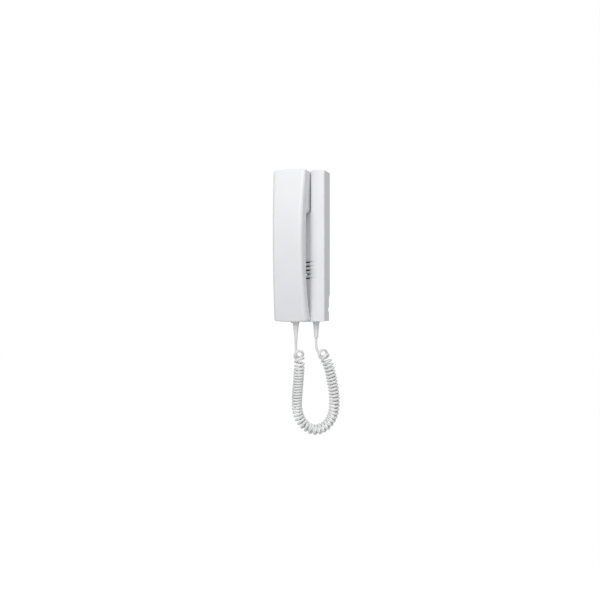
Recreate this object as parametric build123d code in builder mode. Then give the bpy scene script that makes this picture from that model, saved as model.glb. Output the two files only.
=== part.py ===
from build123d import *
import math
import os

# Audio intercom handset on its wall base, in millimetres.
# X runs to the viewer's right, Z up, and -Y out of the wall. A depth is a distance out of the wall.
# The origin is the middle of the two wall screws, on the back of the wall plate.

os.makedirs("parts", exist_ok=True)

# Overall sizes
base_width = 73.0
base_height = 220.0
end_crown = 1.6
wall = 2.0
overrun = 8.0
seat_gap = 0.3
sliding_gap = 0.15
joint_lap = 0.8

# Base cover, seen from below: flat valley on the left, rounded ridge on the right
valley_depth = 15.0
ridge_depth = 28.0
shoulder_depth = 26.0
crest_inset = 10.5
ridge_run = 25.0
ridge_turn_share = 0.45
cover_back = 0.5
left_corner_radius = 2.0
right_corner_radius = 2.5
end_edge_radius = 1.0

# Recess that the earpiece end hangs in
recess_floor = 12.0
recess_ledge_z = 47.5
recess_corner_radius = 5.0
recess_gap = 1.5

# Speaker slots across the ridge
slot_count = 5
slot_pitch = 5.8
slot_height = 2.2
slot_top_z = -23.0
slot_start_run = 3.0
slot_through_run = 12.0
groove_shift = 1.8
groove_lift = 0.25

# Finger rebate and notch low on the right wall, against the wall
rebate_top_z = -72.0
rebate_depth = 4.4
notch_top_z = -89.0
notch_height = 6.0
notch_depth = 8.0

# Handset
handset_side_inset = 0.4
handset_end_inset = 0.4
handset_width = 50.5
handset_waist = 2.6
handset_wall = 2.2
handset_front_depth = 54.0
handset_top_fall = 11.5
handset_bottom_fall = 14.7
grip_rear_depth = 32.7
ear_rear_depth = 13.5
mouth_rear_depth = 17.6
grip_bend_z = -28.0
profile_corner_radius = 5.5
front_edge_radius = 5.0
rear_edge_radius = 4.5
end_round_radius = 2.2
parting_share = 0.516
seam_width = 0.5
seam_inset = 0.5

# Wall plate
plate_thickness = 2.2
plate_gap = 0.5
plate_corner_radius = 3.0
screw_hole_spacing = 83.5
screw_hole_diameter = 4.5
entry_width = 26.0
entry_height = 34.0
entry_z = 3.0
entry_corner_radius = 3.0
post_diameter = 6.5
post_bore = 2.4
tongue_width = 10.0
tongue_thickness = 1.6
tongue_reach = 4.0
tongue_inset = 16.5
lug_width = 10.0
lug_height = 4.0
lug_depth = 9.0
lug_inset = 16.5

# Circuit board, an L that runs up inside the ridge
board_thickness = 1.6
board_rear_depth = 5.5
board_side_gap = 2.0
board_bottom_z = -97.0
board_step_z = -18.0
board_top_z = 42.0
board_arm_width = 17.5
board_corner_radius = 1.5
board_hole_diameter = 3.2
board_hole_inset = 4.0
board_access_diameter = 9.0
small_head_diameter = 5.2
small_head_height = 1.8
small_screw_diameter = 2.2

# Call sounder behind the slots
sounder_inset = 11.8
sounder_z = -35.0
sounder_diameter = 16.0
sounder_height = 7.0
sounder_face_depth = 17.0
holder_wall = 1.1
holder_floor = 2.4
holder_height = 6.5
sounder_port_diameter = 4.0
sounder_port_depth = 1.5

# Terminal block for the riser wires
terminal_inset = 12.0
terminal_top_z = -52.0
terminal_count = 5
terminal_pitch = 5.08
terminal_width = 9.0
terminal_height = 10.0
terminal_screw_diameter = 3.0
terminal_screw_sink = 1.0
terminal_screw_length = 4.0
terminal_mouth = 3.0
terminal_mouth_reach = 6.0

# Parts on the board
transformer_inset = 12.5
transformer_z = 4.0
core_width = 16.0
core_length = 19.0
core_drop = 2.5
bobbin_width = 11.0
bobbin_length = 13.0
bobbin_roof_gap = 3.4
core_band = 3.0
capacitor_diameter = 8.0
capacitor_height = 10.0
capacitor_z = -85.0
capacitor_inset = 12.5
capacitor_spacing = 9.5
capacitor_edge = 0.8
chip_places = [(10.5, -58.0), (30.5, -60.0)]
chip_width = 7.6
chip_length = 10.2
chip_height = 2.4
chip_standoff = 0.3
chip_leg_count = 4
chip_leg_pitch = 1.27
chip_leg_width = 0.5
chip_leg_reach = 1.3
resistor_count = 6
resistor_pitch = 5.0
resistor_inset = 8.5
resistor_z = -80.0
resistor_length = 6.4
resistor_diameter = 2.4
resistor_lead = 0.6
resistor_foot = 0.8
resistor_lead_reach = 1.8
resistor_standoff = 0.3

# Door release button in the valley, under the grip
button_inset = 10.0
button_z = -33.0
button_width = 15.0
button_length = 25.0
button_corner_radius = 4.0
button_gap = 0.35
button_proud = 2.2
button_edge_radius = 0.9
button_dish = 0.7
flange_thickness = 1.0
flange_reach = 1.2
button_travel = 1.5
switch_size = 6.0
switch_height = 2.5
switch_floor = 0.4
stem_diameter = 3.4
stem_floor_gap = 0.1

# Hook switch in the recess
hook_inset = 24.5
hook_z = 60.0
hook_board_width = 34.0
hook_board_height = 24.0
hook_board_depth = 2.5
hook_travel = 3.0
plunger_diameter = 8.0
plunger_bore = 6.4
plunger_roof = 1.6
plunger_flange_diameter = 11.0
plunger_flange_thickness = 1.0
plunger_tip_radius = 1.5
plunger_hole_gap = 0.4
plunger_lug_reach = 9.8
plunger_lug_width = 5.0
hook_switch_size = 5.0
hook_switch_height = 1.0
dome_diameter = 3.2
dome_height = 0.5
spring_diameter = 5.0
spring_wire = 0.5
spring_turns = 6
spring_seat_gap = 0.05

# Earpiece
receiver_drop = 12.5
receiver_diameter = 36.0
receiver_rim = 2.5
receiver_depth = 6.5
receiver_floor = 1.2
gasket_thickness = 1.6
gasket_width = 3.0
cone_thickness = 0.5
cone_height = 2.0
cone_rim_gap = 0.2
magnet_diameter = 20.0
magnet_height = 6.0
magnet_edge = 1.0
rim_wall = 1.4
rim_height = 5.0
ear_hole_diameter = 2.0
ear_ring_spacing = 4.2
ear_ring_count = 2
ear_first_ring = 6

# Microphone
microphone_z = -90.0
capsule_diameter = 9.7
capsule_height = 5.2
boot_wall = 2.0
boot_floor = 1.2
socket_wall = 1.3
socket_height = 3.6
mouth_slot_count = 3
mouth_slot_pitch = 3.4
mouth_slot_width = 7.0
mouth_slot_height = 1.4

# Ballast in the grip
weight_z = 6.0
weight_width = 25.0
weight_length = 46.0
weight_share = 0.4225
weight_post_spacing = 30.0
weight_post_diameter = 5.0
weight_post_gap = 0.3
weight_corner_radius = 2.0
weight_screw_reach = 6.0

# Terminal board and screws in the handset
handset_board_z = -66.0
handset_board_width = 26.0
handset_board_height = 14.0
handset_board_lift = 3.0
handset_board_post = 4.0
handset_board_post_spacing = 18.0
crimp_count = 4
crimp_pitch = 4.0
crimp_width = 2.2
crimp_length = 6.0
crimp_height = 2.5
handset_screw_ear_drop = 6.5
handset_screw_grip_z = -48.0
boss_diameter = 7.0
pilot_bore = 2.4
screw_pocket_diameter = 5.6
screw_head_diameter = 5.0
screw_head_height = 2.0
screw_diameter = 2.9
screw_share = 0.563
screw_pocket_depth = 4.0
screw_floor = 1.8

# Cord and its sleeves
wire_diameter = 3.6
turn_radius = 6.0
whole_turns = 50
handset_cord_shift = 4.55
handset_cord_depth = 28.0
base_cord_inset = 16.9
base_cord_depth = 13.0
sleeve_root_diameter = 9.3
handset_sleeve_length = 30.5
handset_sleeve_tip = 4.0
base_sleeve_length = 23.0
base_sleeve_tip = 6.4
sleeve_collar = 1.6
sleeve_drop = 0.6
sleeve_neck_diameter = 7.0
sleeve_flange_width = 12.0
sleeve_flange_thickness = 1.6
fork_thickness = 1.4
fork_width = 13.0
fork_height = 9.5
fork_shift = 1.75
winding_top_z = -155.0
ring_reach = 5.5
ring_degrees = 30
tail_bend_share = 0.45

# Cover screw from below
cover_screw_diameter = 2.9
cover_screw_head_diameter = 5.5
cover_screw_head_height = 1.8
cover_screw_length = 8.0
cover_screw_depth = 6.5

# Worked out once
half_width = base_width / 2
half_height = base_height / 2 - end_crown
handset_x = -half_width + handset_side_inset + handset_width / 2
handset_half = handset_width / 2
handset_half_height = half_height - handset_end_inset
recess_right_x = handset_x + handset_half + recess_gap
crest_x = half_width - crest_inset
valley_edge_x = crest_x - ridge_run
slot_left_x = valley_edge_x + slot_start_run
slot_through_x = valley_edge_x + slot_through_run
sounder_x = half_width - sounder_inset
terminal_x = half_width - terminal_inset
transformer_x = half_width - transformer_inset
capacitor_x = half_width - capacitor_inset
button_x = valley_edge_x - button_inset
hook_x = hook_inset - half_width
lug_x = lug_inset - half_width
tongue_x = half_width - tongue_inset
base_cord_x = half_width - base_cord_inset
handset_cord_x = handset_x + handset_cord_shift
handset_top_depth = handset_front_depth - handset_top_fall
handset_bottom_depth = handset_front_depth - handset_bottom_fall
handset_thickness = handset_front_depth - grip_rear_depth
parting_depth = handset_thickness * parting_share
weight_thickness = handset_thickness * weight_share
screw_length = handset_thickness * screw_share
handset_screw_ear_z = handset_half_height - handset_screw_ear_drop
receiver_z = handset_half_height - receiver_drop - receiver_diameter / 2
ear_ledge_z = recess_ledge_z + seat_gap
board_face = board_rear_depth + board_thickness
bobbin_height = ridge_depth - wall - bobbin_roof_gap - board_face
core_height = bobbin_height - core_drop
valley = (valley_edge_x, valley_depth)
crest = (crest_x, ridge_depth)
ridge_turn = (
    valley_edge_x + (crest_x - valley_edge_x) * ridge_turn_share,
    valley_depth + (ridge_depth - valley_depth) * ridge_turn_share,
)
plate_half_width = half_width - wall - plate_gap
plate_half_height = half_height - wall - plate_gap


# Height of a lower end's outer face, which arches down by the crown
def lower_end(x, centre_x, half_across, half_up):
    return -half_up - end_crown * (1 - ((x - centre_x) / half_across) ** 2)


# A plane that faces the viewer, at a depth out of the wall
def facing(depth, x=0, z=0):
    return Plane(origin=(x, -depth, z), x_dir=(1, 0, 0), z_dir=(0, -1, 0))


# A level plane seen from below: across is X, up is depth. Extrusions run down.
def level(z):
    return Plane(origin=(0, 0, z), x_dir=(1, 0, 0), z_dir=(0, 0, -1))


# A plane seen from the left: across is depth, up is Z
def beside(x):
    return Plane(origin=(x, 0, 0), x_dir=(0, -1, 0), z_dir=(-1, 0, 0))


# A level plane at a point, its circles are centred there. Extrusions run down.
def under(x, depth, z):
    return Plane(origin=(x, -depth, z), x_dir=(1, 0, 0), z_dir=(0, 0, -1))


def finish(builder, label):
    builder.part.label = label
    export_step(builder.part, "parts/" + label + ".step")


# The base's cross section, thinned all round by inset
def base_section(inset):
    with BuildSketch() as section:
        with BuildLine():
            floor = Line((-half_width, valley_depth), valley)
            scoop = TangentArc(valley, ridge_turn, tangent=floor % 1)
            crown = TangentArc(ridge_turn, crest, tangent=scoop % 1)
            shoulder = TangentArc(crest, (half_width, shoulder_depth), tangent=crown % 1)
            Polyline(shoulder @ 1, (half_width, cover_back), (-half_width, cover_back), floor @ 0)
        make_face()
        if inset:
            offset(amount=-inset, kind=Kind.INTERSECTION)
        else:
            corners = vertices()
            fillet(corners.sort_by_distance((-half_width, valley_depth))[0], left_corner_radius)
            corners = vertices()
            fillet(corners.sort_by_distance((half_width, shoulder_depth))[0], right_corner_radius)
    return section.sketch


# A front outline with arched ends, and sides drawn in at the waist
def front_outline(centre_x, half_across, half_up, waist, inset):
    left = centre_x - half_across
    right = centre_x + half_across
    with BuildSketch() as outline:
        with BuildLine():
            if waist:
                ThreePointArc((left, half_up), (left + waist, 0), (left, -half_up))
                ThreePointArc((right, -half_up), (right - waist, 0), (right, half_up))
            else:
                Line((left, half_up), (left, -half_up))
                Line((right, -half_up), (right, half_up))
            ThreePointArc((left, -half_up), (centre_x, -half_up - end_crown), (right, -half_up))
            ThreePointArc((right, half_up), (centre_x, half_up + end_crown), (left, half_up))
        make_face()
        if inset:
            offset(amount=-inset, kind=Kind.INTERSECTION)
    return outline.sketch


# The earpiece recess as a block, grown by a wall for the inside of the cover
def recess_block(grow):
    left = -half_width - overrun
    right = recess_right_x + grow
    bottom = recess_ledge_z - grow
    top = half_height + overrun
    with BuildPart() as block:
        with BuildSketch(facing(recess_floor - grow)):
            with Locations(((left + right) / 2, (bottom + top) / 2)):
                Rectangle(right - left, top - bottom)
            low_right = vertices().sort_by_distance((right, bottom))[0]
            fillet(low_right, recess_corner_radius + grow)
        extrude(amount=ridge_depth)
    return block.part


# Base cover: hollow housing with its recess, slots, button opening and lower right notch
with BuildPart() as cover_void:
    with BuildSketch(level(base_height / 2)):
        add(base_section(wall))
        with Locations((0, (cover_back + wall) / 2)):
            Rectangle(base_width - 2 * wall, cover_back + wall + overrun)
    extrude(amount=base_height)
    with BuildSketch(facing(-overrun)):
        add(front_outline(0, half_width, half_height, 0, wall))
    extrude(amount=ridge_depth + 2 * overrun, mode=Mode.INTERSECT)
    add(recess_block(wall), mode=Mode.SUBTRACT)

with BuildPart() as base_cover:
    with BuildSketch(level(base_height / 2)):
        add(base_section(0))
    extrude(amount=base_height)
    with BuildSketch(facing(0)):
        add(front_outline(0, half_width, half_height, 0, 0))
    extrude(amount=ridge_depth + overrun, mode=Mode.INTERSECT)
    end_faces = faces().sort_by(Axis.Z)
    front_edges = (end_faces[0].edges() + end_faces[-1].edges()).filter_by(
        lambda edge: -edge.center().Y > cover_back + left_corner_radius
        and edge.length > right_corner_radius
    )
    fillet(front_edges, end_edge_radius)
    add(recess_block(0), mode=Mode.SUBTRACT)
    add(cover_void.part, mode=Mode.SUBTRACT)
    # Five slots: open in the valley, fading into the ridge
    slot_middle_z = slot_top_z - slot_pitch * (slot_count - 1) / 2
    with BuildSketch(facing(recess_floor)):
        with Locations(((slot_left_x + slot_through_x) / 2, slot_middle_z)):
            with GridLocations(0, slot_pitch, 1, slot_count):
                SlotOverall(slot_through_x - slot_left_x, slot_height)
    extrude(amount=ridge_depth, mode=Mode.SUBTRACT)
    for number in range(slot_count):
        slot_z = slot_top_z - slot_pitch * number
        with BuildSketch(level(slot_z + slot_height / 2)):
            with BuildLine():
                low = (ridge_turn[0] + groove_shift, ridge_turn[1] + groove_lift)
                high = (crest_x + groove_shift, ridge_depth + groove_lift)
                rise = TangentArc(high, low, tangent=(-1, 0))
                back = (low[0] - ridge_turn_share * groove_shift, low[1])
                Polyline(low, back, (back[0], ridge_depth + wall), (high[0], ridge_depth + wall), high)
            make_face()
        extrude(amount=slot_height, mode=Mode.SUBTRACT)
    # Door button opening
    with BuildSketch(facing(recess_floor, button_x, button_z)):
        RectangleRounded(
            button_width + 2 * button_gap,
            button_length + 2 * button_gap,
            button_corner_radius + button_gap,
        )
    extrude(amount=ridge_depth, mode=Mode.SUBTRACT)
    # Hook plunger hole
    with BuildSketch(facing(recess_floor - wall - overrun, hook_x, hook_z)):
        Circle(plunger_diameter / 2 + plunger_hole_gap)
    extrude(amount=ridge_depth, mode=Mode.SUBTRACT)
    # Sleeve hole and screw hole in the lower end
    with BuildSketch(under(base_cord_x, base_cord_depth, -half_height + wall + overrun)):
        Circle(sleeve_neck_diameter / 2 + sliding_gap)
    extrude(amount=2 * overrun, mode=Mode.SUBTRACT)
    with BuildSketch(under(lug_x, cover_screw_depth, -half_height + wall + overrun)):
        Circle(cover_screw_diameter / 2 + seat_gap)
    extrude(amount=2 * overrun, mode=Mode.SUBTRACT)
    # Rebate and notch in the right wall
    with BuildSketch(beside(half_width + wall)):
        with Locations((rebate_depth / 2, (rebate_top_z - base_height / 2 - overrun) / 2)):
            Rectangle(rebate_depth, rebate_top_z + base_height / 2 + overrun)
        with Locations((notch_depth / 2, notch_top_z - notch_height / 2)):
            Rectangle(notch_depth, notch_height)
    extrude(amount=2 * wall + sliding_gap, mode=Mode.SUBTRACT)
finish(base_cover, "base_cover")

# Wall plate with screw holes, cable entry, posts, tongues and a lug for the cover's screw
board_left = -half_width + wall + board_side_gap
board_right = half_width - wall - board_side_gap
board_arm_x = board_right - board_arm_width
board_posts = [
    (board_left + board_hole_inset, board_bottom_z + board_hole_inset),
    (board_right - board_hole_inset, board_bottom_z + board_hole_inset),
    (board_left + board_hole_inset, board_step_z - board_hole_inset),
    (board_right - board_hole_inset, board_top_z - board_hole_inset),
]
hook_posts = [
    (hook_x - hook_board_width / 2 + board_hole_inset, hook_z),
    (hook_x + hook_board_width / 2 - board_hole_inset, hook_z),
]
with BuildPart() as wall_plate:
    with BuildSketch(facing(0)):
        RectangleRounded(2 * plate_half_width, 2 * plate_half_height, plate_corner_radius)
        with GridLocations(0, screw_hole_spacing, 1, 2):
            Circle(screw_hole_diameter / 2, mode=Mode.SUBTRACT)
        with Locations((0, entry_z)):
            RectangleRounded(entry_width, entry_height, entry_corner_radius, mode=Mode.SUBTRACT)
    extrude(amount=plate_thickness)
    with BuildSketch(facing(plate_thickness)):
        with Locations(board_posts):
            Circle(post_diameter / 2)
    extrude(amount=board_rear_depth - plate_thickness)
    with BuildSketch(facing(plate_thickness)):
        with Locations(hook_posts):
            Circle(post_diameter / 2)
    extrude(amount=hook_board_depth - plate_thickness)
    with BuildSketch(facing(plate_thickness)):
        with Locations(board_posts + hook_posts):
            Circle(post_bore / 2)
    extrude(amount=overrun, mode=Mode.SUBTRACT)
    with BuildSketch(facing(plate_thickness)):
        with Locations((0, plate_half_height - tongue_thickness / 2)):
            with GridLocations(2 * tongue_x, 0, 2, 1):
                Rectangle(tongue_width, tongue_thickness)
    extrude(amount=tongue_reach)
    with BuildSketch(facing(plate_thickness)):
        with Locations((lug_x, -plate_half_height + lug_height / 2)):
            Rectangle(lug_width, lug_height)
    extrude(amount=lug_depth - plate_thickness)
    with BuildSketch(under(lug_x, cover_screw_depth, -plate_half_height + lug_height + sliding_gap)):
        Circle(cover_screw_diameter / 2 + sliding_gap)
    extrude(amount=lug_height + overrun, mode=Mode.SUBTRACT)
finish(wall_plate, "wall_plate")

with BuildPart() as cover_screw:
    cover_under_z = -half_height - end_crown
    with BuildSketch(under(lug_x, cover_screw_depth, cover_under_z)):
        Circle(cover_screw_head_diameter / 2)
    extrude(amount=cover_screw_head_height)
    chamfer(edges().group_by(Axis.Z)[0], cover_screw_head_height / 3)
    with BuildSketch(under(lug_x, cover_screw_depth, cover_under_z + cover_screw_length)):
        Circle(cover_screw_diameter / 2)
    extrude(amount=cover_screw_length)
finish(cover_screw, "cover_screw")

# Circuit board and what stands on it
with BuildPart() as circuit_board:
    with BuildSketch(facing(board_rear_depth)):
        with BuildLine():
            Polyline(
                (board_left, board_bottom_z),
                (board_right, board_bottom_z),
                (board_right, board_top_z),
                (board_arm_x, board_top_z),
                (board_arm_x, board_step_z),
                (board_left, board_step_z),
                close=True,
            )
        make_face()
        fillet(vertices(), board_corner_radius)
        with Locations(board_posts):
            Circle(board_hole_diameter / 2, mode=Mode.SUBTRACT)
        with Locations((0, -screw_hole_spacing / 2)):
            Circle(board_access_diameter / 2, mode=Mode.SUBTRACT)
    extrude(amount=board_thickness)
finish(circuit_board, "circuit_board")

with BuildPart() as board_screws:
    with BuildSketch(facing(board_face)):
        with Locations(board_posts):
            Circle(small_head_diameter / 2)
    extrude(amount=small_head_height)
    chamfer(edges().group_by(Axis.Y)[0], small_head_height / 3)
    with BuildSketch(facing(board_face)):
        with Locations(board_posts):
            Circle(small_screw_diameter / 2)
    extrude(amount=-(board_face - plate_thickness - sliding_gap))
finish(board_screws, "board_screws")

with BuildPart() as sounder_holder:
    with BuildSketch(facing(board_face, sounder_x, sounder_z)):
        Circle(sounder_diameter / 2 + sliding_gap + holder_wall)
    extrude(amount=holder_height)
    holder_seat = sounder_face_depth - sounder_height
    with BuildSketch(facing(holder_seat, sounder_x, sounder_z)):
        Circle(sounder_diameter / 2 + sliding_gap)
    extrude(amount=holder_height, mode=Mode.SUBTRACT)
finish(sounder_holder, "sounder_holder")

with BuildPart() as call_sounder:
    with BuildSketch(facing(holder_seat, sounder_x, sounder_z)):
        Circle(sounder_diameter / 2)
    extrude(amount=sounder_height)
    chamfer(edges().group_by(Axis.Y)[0], sounder_port_depth / 3)
    with BuildSketch(facing(sounder_face_depth - sounder_port_depth, sounder_x, sounder_z)):
        Circle(sounder_port_diameter / 2)
    extrude(amount=sounder_port_depth, mode=Mode.SUBTRACT)
finish(call_sounder, "call_sounder")

terminal_length = terminal_count * terminal_pitch
terminal_z = terminal_top_z - terminal_length / 2
with BuildPart() as terminal_block:
    with BuildSketch(facing(board_face, terminal_x, terminal_z)):
        Rectangle(terminal_width, terminal_length)
    extrude(amount=terminal_height)
    chamfer(edges().group_by(Axis.Y)[0], terminal_screw_sink / 2)
    terminal_face = board_face + terminal_height
    screw_seat = terminal_face - terminal_screw_sink - terminal_screw_length
    with BuildSketch(facing(screw_seat, terminal_x, terminal_z)):
        with GridLocations(0, terminal_pitch, 1, terminal_count):
            Circle(terminal_screw_diameter / 2 + sliding_gap)
    extrude(amount=terminal_height, mode=Mode.SUBTRACT)
    with BuildSketch(beside(terminal_x - terminal_width / 2 + terminal_mouth_reach)):
        with Locations((board_face + terminal_mouth, terminal_z)):
            with GridLocations(0, terminal_pitch, 1, terminal_count):
                Rectangle(terminal_mouth, terminal_mouth)
    extrude(amount=terminal_mouth_reach + overrun, mode=Mode.SUBTRACT)
finish(terminal_block, "terminal_block")

with BuildPart() as terminal_screws:
    with BuildSketch(facing(screw_seat, terminal_x, terminal_z)):
        with GridLocations(0, terminal_pitch, 1, terminal_count):
            Circle(terminal_screw_diameter / 2)
    extrude(amount=terminal_screw_length)
    slot_foot = screw_seat + terminal_screw_length - terminal_screw_sink / 2
    with BuildSketch(facing(slot_foot, terminal_x, terminal_z)):
        with GridLocations(0, terminal_pitch, 1, terminal_count):
            Rectangle(terminal_screw_diameter, terminal_screw_sink / 2)
    extrude(amount=terminal_screw_sink, mode=Mode.SUBTRACT)
finish(terminal_screws, "terminal_screws")

# Line transformer: winding bobbin with a core band round it
with BuildPart() as transformer_bobbin:
    with BuildSketch(facing(board_face, transformer_x, transformer_z)):
        RectangleRounded(bobbin_width, bobbin_length, core_band / 2)
    extrude(amount=bobbin_height)
finish(transformer_bobbin, "transformer_bobbin")

with BuildPart() as transformer_core:
    with BuildSketch(facing(board_face + core_band / 2, transformer_x, transformer_z)):
        Rectangle(core_width, core_length)
        RectangleRounded(
            bobbin_width + 2 * sliding_gap,
            bobbin_length + 2 * sliding_gap,
            core_band / 2,
            mode=Mode.SUBTRACT,
        )
    extrude(amount=core_height - core_band)
finish(transformer_core, "transformer_core")

with BuildPart() as capacitors:
    with BuildSketch(facing(board_face, capacitor_x, capacitor_z)):
        with GridLocations(capacitor_spacing, 0, 2, 1):
            Circle(capacitor_diameter / 2)
    extrude(amount=capacitor_height)
    fillet(edges().group_by(Axis.Y)[0], capacitor_edge)
finish(capacitors, "capacitors")

with BuildPart() as board_chips:
    with BuildSketch(facing(board_face + chip_standoff)):
        with Locations([(board_left + run, up) for run, up in chip_places]):
            Rectangle(chip_width, chip_length)
    extrude(amount=chip_height)
    chamfer(edges().group_by(Axis.Y)[0], chip_standoff)
    leg_pitch_across = chip_width + chip_leg_reach
    with BuildSketch(facing(board_face)):
        with Locations([(board_left + run, up) for run, up in chip_places]):
            with GridLocations(leg_pitch_across, 2 * chip_leg_pitch, 2, chip_leg_count):
                Rectangle(chip_leg_reach + chip_standoff, chip_leg_width)
    extrude(amount=chip_height / 2)
finish(board_chips, "board_chips")

with BuildPart() as resistors:
    for number in range(resistor_count):
        across = board_left + resistor_inset + resistor_pitch * number
        lift = board_face + resistor_standoff + resistor_diameter / 2
        with BuildSketch(under(across, lift, resistor_z + resistor_length / 2)):
            Circle(resistor_diameter / 2)
        extrude(amount=resistor_length)
        lead_length = resistor_length + 2 * resistor_lead_reach
        with BuildSketch(under(across, lift, resistor_z + lead_length / 2)):
            Circle(resistor_lead / 2)
        extrude(amount=lead_length)
        with BuildSketch(facing(board_face, across, resistor_z)):
            with GridLocations(0, lead_length - 2 * resistor_lead, 1, 2):
                Rectangle(resistor_foot, resistor_lead)
        extrude(amount=lift - board_face)
finish(resistors, "resistors")

# Door release: a capped key with a flange, and a push stem that runs in the switch
button_face = valley_depth + button_proud
flange_rear = button_face - button_proud - wall - flange_thickness - sliding_gap * 2
with BuildPart() as door_button:
    with BuildSketch(facing(flange_rear, button_x, button_z)):
        RectangleRounded(button_width, button_length, button_corner_radius)
    extrude(amount=button_face - flange_rear)
    fillet(edges().group_by(Axis.Y)[0], button_edge_radius)
    with BuildSketch(facing(button_face - button_dish / 2, button_x, button_z)):
        SlotOverall(button_length - 2 * button_corner_radius, button_width / 2, rotation=90)
    extrude(amount=button_dish, mode=Mode.SUBTRACT, taper=-30)
    with BuildSketch(facing(flange_rear, button_x, button_z)):
        RectangleRounded(
            button_width + 2 * flange_reach,
            button_length + 2 * flange_reach,
            button_corner_radius + flange_reach,
        )
    extrude(amount=flange_thickness)
finish(door_button, "door_button")

with BuildPart() as button_switch:
    with BuildSketch(facing(board_face, button_x, button_z)):
        Rectangle(switch_size, switch_size)
    extrude(amount=switch_height)
    with BuildSketch(facing(board_face + switch_floor, button_x, button_z)):
        Circle(stem_diameter / 2 + sliding_gap)
    extrude(amount=switch_height, mode=Mode.SUBTRACT)
finish(button_switch, "button_switch")

with BuildPart() as button_stem:
    stem_foot = board_face + switch_floor + button_travel + stem_floor_gap
    with BuildSketch(facing(stem_foot, button_x, button_z)):
        Circle(stem_diameter / 2)
    extrude(amount=flange_rear - stem_foot)
finish(button_stem, "button_stem")

# Hook switch: board, low dome switch, cup plunger and its spring
hook_face = hook_board_depth + board_thickness
hook_dome_x = hook_x + plunger_lug_reach - hook_switch_size / 2
with BuildPart() as hook_board:
    with BuildSketch(facing(hook_board_depth)):
        with Locations((hook_x, hook_z)):
            RectangleRounded(hook_board_width, hook_board_height, board_corner_radius)
        with Locations(hook_posts):
            Circle(board_hole_diameter / 2, mode=Mode.SUBTRACT)
    extrude(amount=board_thickness)
finish(hook_board, "hook_board")

with BuildPart() as hook_screws:
    with BuildSketch(facing(hook_face)):
        with Locations(hook_posts):
            Circle(small_head_diameter / 2)
    extrude(amount=small_head_height)
    chamfer(edges().group_by(Axis.Y)[0], small_head_height / 3)
    with BuildSketch(facing(hook_face)):
        with Locations(hook_posts):
            Circle(small_screw_diameter / 2)
    extrude(amount=-(hook_face - plate_thickness - sliding_gap))
finish(hook_screws, "hook_screws")

with BuildPart() as hook_switch:
    with BuildSketch(facing(hook_face, hook_dome_x, hook_z)):
        RectangleRounded(hook_switch_size, hook_switch_size, dome_height)
    extrude(amount=hook_switch_height)
    with BuildSketch(facing(hook_face + hook_switch_height, hook_dome_x, hook_z)):
        Circle(dome_diameter / 2)
    extrude(amount=dome_height)
finish(hook_switch, "hook_switch")

plunger_tip = ear_rear_depth - seat_gap
plunger_flange_depth = recess_floor - wall - seat_gap - hook_travel - plunger_flange_thickness
with BuildPart() as hook_plunger:
    with BuildSketch(facing(plunger_flange_depth, hook_x, hook_z)):
        Circle(plunger_diameter / 2)
    extrude(amount=plunger_tip - plunger_flange_depth)
    fillet(edges().group_by(Axis.Y)[0], plunger_tip_radius)
    with BuildSketch(facing(plunger_flange_depth, hook_x, hook_z)):
        Circle(plunger_flange_diameter / 2)
        with Locations((plunger_lug_reach / 2, 0)):
            Rectangle(plunger_lug_reach, plunger_lug_width)
    extrude(amount=plunger_flange_thickness)
    with BuildSketch(facing(plunger_flange_depth, hook_x, hook_z)):
        Circle(plunger_bore / 2)
    extrude(amount=plunger_tip - plunger_roof - plunger_flange_depth, mode=Mode.SUBTRACT)
finish(hook_plunger, "hook_plunger")


# A curved line through the middles of its control points' runs, as a list of even steps
def soften(points, steps):
    corners = [Vector(*point) for point in points]
    last = len(corners) - 2
    found = []
    for number in range(1, last + 1):
        begin = corners[0] if number == 1 else (corners[number - 1] + corners[number]) / 2
        close = corners[-1] if number == last else (corners[number] + corners[number + 1]) / 2
        for step in range(steps):
            t = step / steps
            found.append(begin * (1 - t) ** 2 + corners[number] * (2 * t * (1 - t)) + close * t**2)
    found.append(corners[-1])
    return found


# A value read from a list of (place, value) pairs, straight between them
def read_between(pairs, place):
    for (low, low_value), (high, high_value) in zip(pairs, pairs[1:]):
        if place <= high:
            return low_value + (high_value - low_value) * (place - low) / (high - low)
    return pairs[-1][1]


# Points and directions of a winding round a line, two for each turn.
# The pitches are relative, and the last station is turned to face end_side.
def wind(line, radius, turns, first_side, end_side, pitches):
    lengths = [0]
    for begin, close in zip(line, line[1:]):
        lengths.append(lengths[-1] + (close - begin).length)
    along = []
    for number in range(len(line)):
        before = line[max(number - 1, 0)]
        after = line[min(number + 1, len(line) - 1)]
        along.append((after - before).normalized())
    out = [first_side]
    for direction in along[1:]:
        carried = out[-1] - direction * out[-1].dot(direction)
        out.append(carried.normalized())
    angles = [0]
    for number in range(1, len(line)):
        middle = (lengths[number - 1] + lengths[number]) / 2 / lengths[-1]
        step = lengths[number] - lengths[number - 1]
        angles.append(angles[-1] + step / read_between(pitches, middle))
    across = along[-1].cross(out[-1])
    end_angle = math.atan2(end_side.dot(across), end_side.dot(out[-1])) % (2 * math.pi)
    sweep_angle = 2 * math.pi * turns + end_angle
    angles = [angle * sweep_angle / angles[-1] for angle in angles]

    def spot(angle):
        number = 0
        while number < len(angles) - 2 and angles[number + 1] < angle:
            number += 1
        share = (angle - angles[number]) / (angles[number + 1] - angles[number])
        centre = line[number] + (line[number + 1] - line[number]) * share
        direction = (along[number] + (along[number + 1] - along[number]) * share).normalized()
        side = out[number] + (out[number + 1] - out[number]) * share
        side = (side - direction * side.dot(direction)).normalized()
        turned = side * math.cos(angle) + direction.cross(side) * math.sin(angle)
        return centre + turned * radius

    stations = []
    count = round(sweep_angle / math.pi)
    nudge = math.pi / 1000
    for number in range(count + 1):
        angle = sweep_angle * number / count
        ahead = spot(min(angle + nudge, sweep_angle))
        behind = spot(max(angle - nudge, 0))
        stations.append((spot(angle), (ahead - behind).normalized()))
    return stations


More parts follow.
